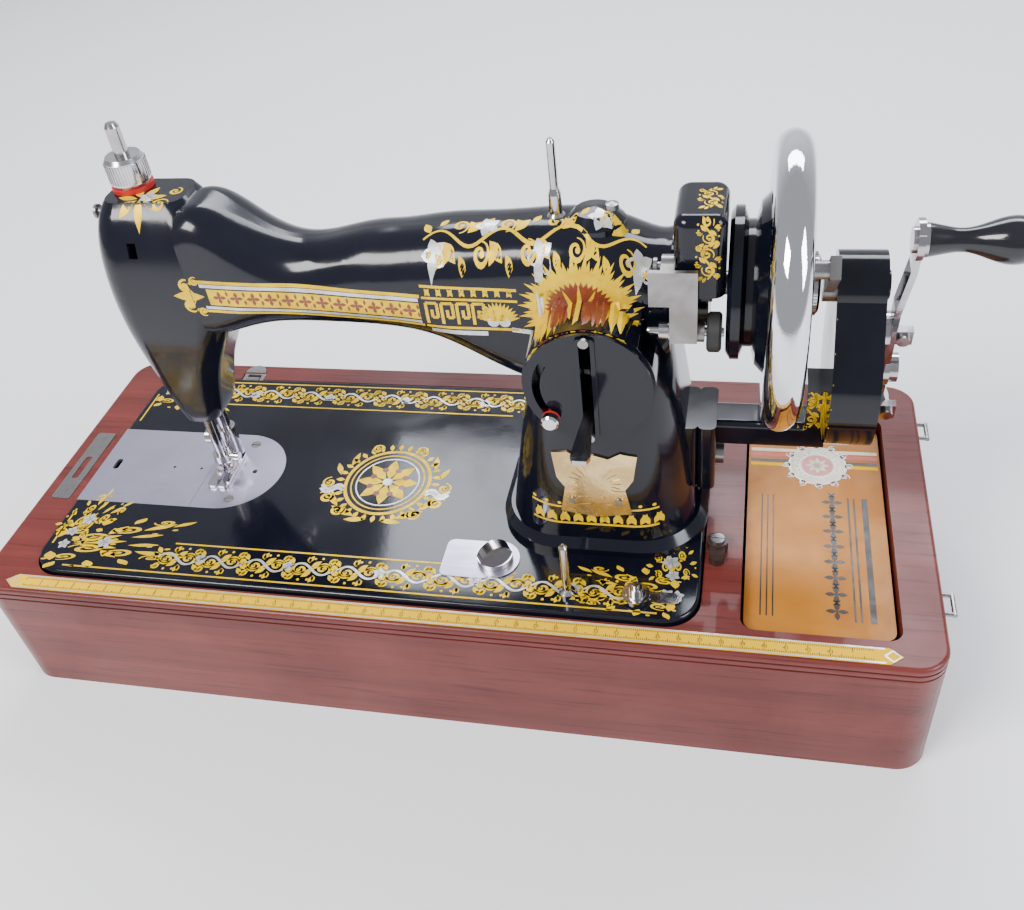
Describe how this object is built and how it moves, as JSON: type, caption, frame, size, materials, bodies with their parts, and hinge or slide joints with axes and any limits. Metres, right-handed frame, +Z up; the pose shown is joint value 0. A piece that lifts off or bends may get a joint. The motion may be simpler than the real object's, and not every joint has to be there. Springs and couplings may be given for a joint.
{
  "type": "hand crank sewing machine",
  "caption": "Cast black hand-crank lockstitch sewing machine with geared side crank, chrome handwheel and hinged bed in a varnished wooden base.",
  "frame": {"origin": "centre of the wooden base's underside", "axes": "+X from the needle end towards the handwheel and crank, +Y from the operator to the back, +Z up"},
  "size_m": [0.5299, 0.212, 0.2974],
  "materials": {
    "varnished_wood": "glossy varnish",
    "plain_wood": "bare",
    "yellow_strip": "printed sheet",
    "steel": "satin",
    "chrome": "polished",
    "black_enamel": "glossy black enamel",
    "brass": "satin",
    "orange_tin": "glossy printed tin",
    "cast_iron": "bare casting",
    "black_grip": "glossy black"
  },
  "bodies": {
    "base": {"base_top_board": "varnished_wood", "base_wall_boards": "varnished_wood", "base_floor": "varnished_wood", "bed_supports": "plain_wood", "ruler_strip": "yellow_strip", "base_fittings": "steel", "hinge_brackets": "steel"},
    "turn_button": {"turn_button": "varnished_wood"},
    "accessory_box": {"accessory_box": "orange_tin"},
    "accessory_lid": {"accessory_box_lid": "orange_tin"},
    "machine": {"bed": "black_enamel", "hinge_arms": "steel", "needle_plate": "steel", "cover_screws": "steel", "drop_feed_plate": "steel", "spool_pins": "chrome", "winder_tension": "chrome", "arm": "black_enamel", "frame_bolts": "steel", "face_plate": "steel", "regulator_disc": "black_enamel", "pivot_pins": "steel", "pillar_plaque": "brass", "crank_bracket": "black_enamel", "gear_cover": "black_enamel", "bushings": "brass", "winder_bracket": "black_enamel", "presser_spring": "steel", "tension_discs": "chrome", "shuttle_race": "cast_iron", "bobbin_case": "steel"},
    "slide_plate": {"slide_plate": "steel"},
    "drive": {"main_shaft": "steel", "handwheel": "chrome", "driving_pinion": "steel"},
    "stop_knob": {"stop_motion_knob": "chrome"},
    "pitman_rods": {"pitman_rods": "cast_iron"},
    "needle": {"needle_bar": "chrome", "needle": "chrome", "needle_link": "steel"},
    "take_up": {"take_up_lever": "chrome"},
    "presser": {"presser_bar": "chrome", "presser_foot": "chrome"},
    "lifter": {"presser_lifter": "chrome"},
    "pressure_screw": {"pressure_screw": "chrome"},
    "stitch_knob": {"stitch_knob": "chrome"},
    "feed_lever": {"feed_lever": "chrome"},
    "drop_feed_knob": {"drop_feed_knob": "chrome"},
    "tension_nut": {"tension_nut": "chrome"},
    "winder_arm": {"winder_arm": "chrome"},
    "winder_spindle": {"winder_spindle": "steel"},
    "crank": {"crank_gear": "steel", "crank_arm": "chrome"},
    "grip": {"crank_grip": "black_grip"},
    "shuttle": {"shuttle_shaft": "steel", "shuttle_hook": "steel"},
    "bobbin": {"bobbin": "steel"},
    "feed_bar": {"feed_bar": "steel"},
    "feed_lift_shaft": {"feed_lift_shaft": "steel"},
    "feed_rock_shaft": {"feed_rock_shaft": "steel"}
  },
  "joints": [
    {"name": "bed_tilt", "type": "hinge", "parent": "base", "child": "machine", "pos_m": [-0.0479, 0.0912, 0.077], "axis": [-1, 0, 0], "range_deg": [0, 70]},
    {"name": "turn_button_turn", "type": "hinge", "parent": "base", "child": "turn_button", "pos_m": [0.1491, -0.0368, 0.082], "axis": [0, 0, 1], "range_deg": [0, 95]},
    {"name": "accessory_box_lift", "type": "slide", "parent": "base", "child": "accessory_box", "axis": [0, 0, 1], "range_m": [0, 0.05]},
    {"name": "accessory_lid_lift", "type": "slide", "parent": "accessory_box", "child": "accessory_lid", "axis": [0, 0, 1], "range_m": [0, 0.045]},
    {"name": "slide_plate_slide", "type": "slide", "parent": "machine", "child": "slide_plate", "axis": [-1, 0, 0], "range_m": [0, 0.045]},
    {"name": "handwheel_turn", "type": "hinge", "parent": "machine", "child": "drive", "pos_m": [0.1746, -0.0008, 0.219], "axis": [1, 0, 0], "continuous": true},
    {"name": "stop_knob_turn", "type": "hinge", "parent": "drive", "child": "stop_knob", "pos_m": [0.1861, -0.0008, 0.219], "axis": [1, 0, 0], "range_deg": [0, 120]},
    {"name": "pitman_rods_swing", "type": "hinge", "parent": "drive", "child": "pitman_rods", "pos_m": [0.0881, 0.0022, 0.219], "axis": [1, 0, 0], "continuous": true},
    {"name": "needle_stroke", "type": "slide", "parent": "machine", "child": "needle", "axis": [0, 0, 1], "range_m": [0, 0.03]},
    {"name": "take_up_swing", "type": "hinge", "parent": "machine", "child": "take_up", "pos_m": [-0.1369, -0.0173, 0.233], "axis": [1, 0, 0], "range_deg": [0, 41]},
    {"name": "lifter_swing", "type": "hinge", "parent": "machine", "child": "lifter", "pos_m": [-0.1339, 0.0182, 0.196], "axis": [1, 0, 0], "range_deg": [0, 62]},
    {"name": "presser_lift", "type": "slide", "parent": "machine", "child": "presser", "axis": [0, 0, 1], "range_m": [0, 0.006], "deforming": ["presser_spring"]},
    {"name": "pressure_screw_turn", "type": "hinge", "parent": "machine", "child": "pressure_screw", "pos_m": [-0.1434, 0.0097, 0.274], "axis": [0, 0, 1], "range_deg": [-360, 360]},
    {"name": "stitch_knob_turn", "type": "hinge", "parent": "machine", "child": "stitch_knob", "pos_m": [0.0891, -0.0518, 0.1925], "axis": [0, 1, 0], "range_deg": [0, 70]},
    {"name": "feed_lever_tilt", "type": "hinge", "parent": "machine", "child": "feed_lever", "pos_m": [0.0891, -0.0218, 0.182], "axis": [-1, 0, 0], "range_deg": [-12, 35]},
    {"name": "drop_feed_turn", "type": "hinge", "parent": "machine", "child": "drop_feed_knob", "pos_m": [0.0351, -0.0598, 0.088], "axis": [0, 0, 1], "range_deg": [0, 90]},
    {"name": "tension_nut_turn", "type": "hinge", "parent": "machine", "child": "tension_nut", "pos_m": [-0.1709, 0.0112, 0.19], "axis": [-1, 0, 0], "range_deg": [-360, 360]},
    {"name": "winder_arm_swing", "type": "hinge", "parent": "machine", "child": "winder_arm", "pos_m": [0.1241, -0.0258, 0.242], "axis": [1, 0, 0], "range_deg": [-15, 3]},
    {"name": "winder_spindle_spin", "type": "hinge", "parent": "winder_arm", "child": "winder_spindle", "pos_m": [0.1311, -0.0318, 0.213], "axis": [1, 0, 0], "continuous": true},
    {"name": "crank_turn", "type": "hinge", "parent": "machine", "child": "crank", "pos_m": [0.2071, -0.0038, 0.176], "axis": [1, 0, 0], "continuous": true},
    {"name": "grip_spin", "type": "hinge", "parent": "crank", "child": "grip", "pos_m": [0.2511, -0.01987, 0.25233], "axis": [1, 0, 0], "continuous": true},
    {"name": "shuttle_swing", "type": "hinge", "parent": "machine", "child": "shuttle", "pos_m": [-0.1519, -0.0033, 0.058], "axis": [1, 0, 0], "range_deg": [-100, 100]},
    {"name": "bobbin_spin", "type": "hinge", "parent": "machine", "child": "bobbin", "pos_m": [-0.1559, -0.0033, 0.058], "axis": [1, 0, 0], "continuous": true},
    {"name": "feed_stroke", "type": "slide", "parent": "machine", "child": "feed_bar", "axis": [0, 1, 0], "range_m": [-0.0022, 0.0022]},
    {"name": "feed_lift_rock", "type": "hinge", "parent": "machine", "child": "feed_lift_shaft", "pos_m": [-0.0289, -0.0538, 0.068], "axis": [1, 0, 0], "range_deg": [-8, 8]},
    {"name": "feed_rock_rock", "type": "hinge", "parent": "machine", "child": "feed_rock_shaft", "pos_m": [-0.0289, 0.0482, 0.068], "axis": [1, 0, 0], "range_deg": [-8, 8]}
  ],
  "couplings": [
    {"joint": "pitman_rods_swing", "follows": "handwheel_turn", "ratio": -1},
    {"joint": "crank_turn", "follows": "handwheel_turn", "ratio": -0.32308},
    {"joint": "take_up_swing", "follows": "needle_stroke", "rad_per_m": 23.271},
    {"joint": "lifter_swing", "follows": "presser_lift", "rad_per_m": 177.44}
  ]
}
